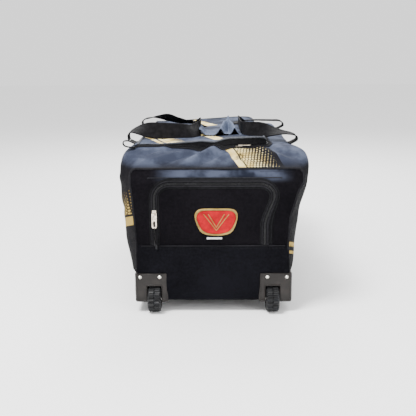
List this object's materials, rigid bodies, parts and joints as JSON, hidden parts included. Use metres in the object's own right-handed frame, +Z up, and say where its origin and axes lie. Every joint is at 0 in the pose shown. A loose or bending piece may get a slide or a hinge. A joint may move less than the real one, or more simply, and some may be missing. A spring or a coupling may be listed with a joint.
{
  "type": "wheeled hockey equipment bag",
  "caption": "Long soft-sided equipment bag with a zipped top lid, end pocket, carry handles and recessed wheels at one end for rolling it along.",
  "frame": {"origin": "centre of the bounding box in X and Y, on the surface the bag stands on", "axes": "+Z up; +Y along the bag away from its wheels, so the wheel end faces -Y; X across, with the lid hinged on the -X side"},
  "size_m": [0.4884, 0.978, 0.5342],
  "materials": {
    "top_fabric": "coated woven polyester with a soft sheen",
    "side_fabric": "coated woven polyester, near black",
    "kick_fabric": "heavy coated fabric, near black",
    "lining": "thin woven lining",
    "board": "stiff base sheet",
    "piping": "covered cord piping",
    "zip_tape": "coil zip and its tape",
    "webbing": "flat woven webbing",
    "metal": "cast and plated zip hardware",
    "rivet": "bright rivet heads",
    "housing": "moulded plastic, dark brown-black",
    "hub": "moulded plastic",
    "tyre": "moulded rubber with blocks",
    "grip": "soft tube",
    "foot": "moulded plastic",
    "badge_gold": "gold border",
    "badge_red": "red face",
    "label": "woven label, blank"
  },
  "bodies": {
    "root": {"axle_left": "metal", "axle_right": "metal", "base_board": "board", "bottom_panel": "kick_fabric", "far_end_panel": "side_fabric", "handle_anchor_left_far": "webbing", "handle_anchor_left_near": "webbing", "handle_anchor_right_far": "webbing", "handle_anchor_right_near": "webbing", "lid_zip_tape_fixed": "zip_tape", "piping_far_end": "piping", "piping_wheel_end": "piping", "pocket_lining": "lining", "pocket_zip_tape_fixed": "zip_tape", "pull_handle_tab_left": "webbing", "pull_handle_tab_right": "webbing", "rivet_left_inner": "rivet", "rivet_left_outer": "rivet", "rivet_right_inner": "rivet", "rivet_right_outer": "rivet", "side_panel_left": "side_fabric", "side_panel_right": "side_fabric", "skid_foot_left": "foot", "skid_foot_right": "foot", "top_surround": "top_fabric", "wheel_end_kick_panel": "kick_fabric", "wheel_end_panel": "side_fabric", "wheel_housing_left": "housing", "wheel_housing_right": "housing", "zip_end_loop": "webbing"},
    "lid": {"lid_panel": "top_fabric", "lid_piping": "piping", "lid_zip_tape_moving": "zip_tape"},
    "lid_near_slider": {"lid_near_slider": "metal"},
    "lid_near_puller": {"lid_near_puller": "metal"},
    "lid_side_slider": {"lid_side_slider": "metal"},
    "lid_side_puller": {"lid_side_puller": "metal"},
    "carry_handle_left": {"carry_handle_left": "webbing", "handle_wrap": "top_fabric"},
    "carry_handle_right": {"carry_handle_right": "webbing"},
    "pocket_flap": {"pocket_panel": "side_fabric", "pocket_zip_tape_moving": "zip_tape", "badge_border": "badge_gold", "badge_face": "badge_red", "badge_label": "label"},
    "pocket_slider": {"pocket_slider": "metal"},
    "pocket_puller": {"pocket_puller": "metal", "pocket_pull_cord": "webbing"},
    "wheel_left": {"hub_left": "hub", "tyre_left": "tyre"},
    "wheel_right": {"hub_right": "hub", "tyre_right": "tyre"},
    "pull_handle": {"pull_handle": "webbing", "pull_handle_grip": "grip"}
  },
  "joints": [
    {"name": "wheel_left_spin", "type": "hinge", "parent": "root", "child": "wheel_left", "pos_m": [-0.158, -0.454, 0.035], "axis": [1, 0, 0], "continuous": true},
    {"name": "wheel_right_spin", "type": "hinge", "parent": "root", "child": "wheel_right", "pos_m": [0.158, -0.454, 0.035], "axis": [1, 0, 0], "continuous": true},
    {"name": "lid_hinge", "type": "hinge", "parent": "root", "child": "lid", "pos_m": [-0.2245, 0, 0.436], "axis": [0, -1, 0], "range_deg": [0, 95]},
    {"name": "lid_near_slide", "type": "slide", "parent": "lid", "child": "lid_near_slider", "axis": [1, 0, 0], "range_m": [-0.25, 0.025]},
    {"name": "lid_near_pull", "type": "hinge", "parent": "lid_near_slider", "child": "lid_near_puller", "pos_m": [0.07, -0.342, 0.435], "axis": [0, -1, 0], "range_deg": [0, 150]},
    {"name": "lid_side_slide", "type": "slide", "parent": "lid", "child": "lid_side_slider", "axis": [0, 1, 0], "range_m": [-0.14, 0.14]},
    {"name": "lid_side_pull", "type": "hinge", "parent": "lid_side_slider", "child": "lid_side_puller", "pos_m": [0.15, 0, 0.435], "axis": [-1, 0, 0], "range_deg": [0, 150]},
    {"name": "carry_handle_left_lift", "type": "hinge", "parent": "lid", "child": "carry_handle_left", "pos_m": [-0.2245, 0, 0.436], "axis": [0, -1, 0], "range_deg": [0, 70]},
    {"name": "carry_handle_right_fold", "type": "hinge", "parent": "root", "child": "carry_handle_right", "pos_m": [0.24, 0, 0.434], "axis": [0, 1, 0], "range_deg": [0, 228]},
    {"name": "pocket_hinge", "type": "hinge", "parent": "root", "child": "pocket_flap", "pos_m": [0.004, -0.46, 0.1885], "axis": [1, 0, 0], "range_deg": [0, 90]},
    {"name": "pocket_slide", "type": "slide", "parent": "pocket_flap", "child": "pocket_slider", "axis": [0, 0, 1], "range_m": [0, 0.035]},
    {"name": "pocket_pull", "type": "hinge", "parent": "pocket_slider", "child": "pocket_puller", "pos_m": [-0.154, -0.4658, 0.272], "axis": [-1, 0, 0], "range_deg": [0, 150]},
    {"name": "pull_handle_swing", "type": "hinge", "parent": "root", "child": "pull_handle", "pos_m": [0, 0.4777, 0.33], "axis": [1, 0, 0], "range_deg": [0, 120]}
  ],
  "couplings": [
    {"joint": "carry_handle_right_fold", "follows": "lid_hinge", "ratio": 2.4}
  ]
}
